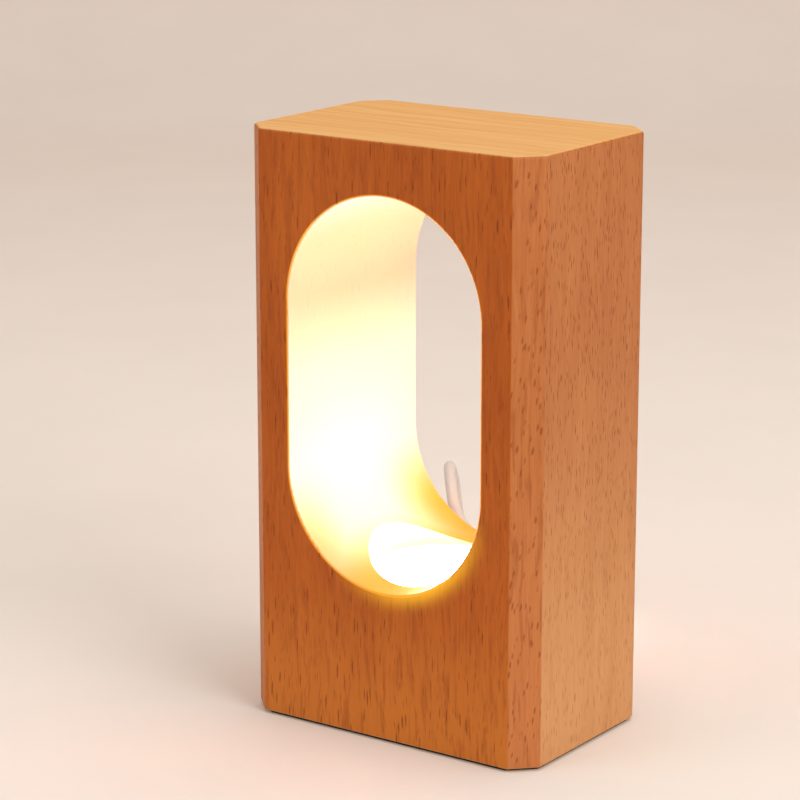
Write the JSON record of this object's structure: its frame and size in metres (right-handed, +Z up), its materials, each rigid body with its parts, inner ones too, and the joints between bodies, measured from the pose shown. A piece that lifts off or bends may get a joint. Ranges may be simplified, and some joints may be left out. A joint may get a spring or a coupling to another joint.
{
  "type": "wooden desk lamp",
  "caption": "Desk lamp of solid beech: an upright block with a tall round-ended opening, lit from a round module in its floor, with a thin lead, an inline rocker switch and a coiled plug end.",
  "frame": {"origin": "middle of the foot pad's underside, on the surface that the lamp stands on", "axes": "+Z up, -Y out of the front face, +X to the right seen from the front; the cord leaves through the back towards +Y"},
  "size_m": [0.0978, 0.1311, 0.15],
  "materials": {
    "beech": "satin",
    "plywood": "raw",
    "screw_steel": "satin",
    "foot_foam": "matt",
    "white_moulding": "satin",
    "opal": "satin, translucent",
    "light_board": "satin",
    "light_chip": "gloss",
    "grey_pad": "matt",
    "heat_aluminium": "milled",
    "driver_board": "satin",
    "nylon": "satin",
    "board_parts": "satin",
    "cord_pvc": "satin",
    "core_insulation": "satin",
    "sleeve_pvc": "satin",
    "switch_shell": "gloss",
    "contact_brass": "polished",
    "spring_steel": "bright",
    "strap": "woven",
    "plug_steel": "bright"
  },
  "bodies": {
    "lamp": {"wooden_body": "beech", "base_plate": "plywood", "base_screws": "screw_steel", "foot_pad": "foot_foam", "light_cup": "white_moulding", "diffuser": "opal", "led_board": "light_board", "thermal_pad": "grey_pad", "heat_plate": "heat_aluminium", "leds": "light_chip", "heat_plate_screws": "screw_steel", "cup_screws": "screw_steel", "driver_board": "driver_board", "driver_spacers": "nylon", "driver_screws": "screw_steel", "driver_parts": "board_parts", "cord_clamp": "nylon", "clamp_screws": "screw_steel", "led_leads": "core_insulation", "cord_sleeve": "sleeve_pvc", "inner_cord": "cord_pvc", "supply_cores": "core_insulation", "cord_to_switch": "cord_pvc", "cord_from_switch": "cord_pvc", "switch_base": "switch_shell", "switch_cover": "switch_shell", "switch_contacts": "contact_brass", "switch_wires": "core_insulation", "switch_screws": "screw_steel", "cord_coil": "cord_pvc", "cord_tie": "strap", "cord_tail": "cord_pvc", "plug_body": "switch_shell", "plug_shell": "plug_steel", "plug_tongue": "white_moulding", "plug_contacts": "contact_brass"},
    "rocker": {"switch_rocker": "switch_shell", "switch_plunger": "contact_brass", "plunger_spring": "spring_steel"},
    "contact": {"contact_blade": "contact_brass"}
  },
  "joints": [
    {"name": "rocker_tip", "type": "hinge", "parent": "lamp", "child": "rocker", "pos_m": [-0.0042, 0.0766, 0.0086], "axis": [0.8161, 0.5779, 0], "range_deg": [-16, 0]},
    {"name": "contact_rock", "type": "hinge", "parent": "lamp", "child": "contact", "pos_m": [-0.0042, 0.0766, 0.0035], "axis": [0.8161, 0.5779, 0], "range_deg": [0, 12]}
  ],
  "couplings": [
    {"joint": "contact_rock", "follows": "rocker_tip", "ratio": -0.75}
  ]
}
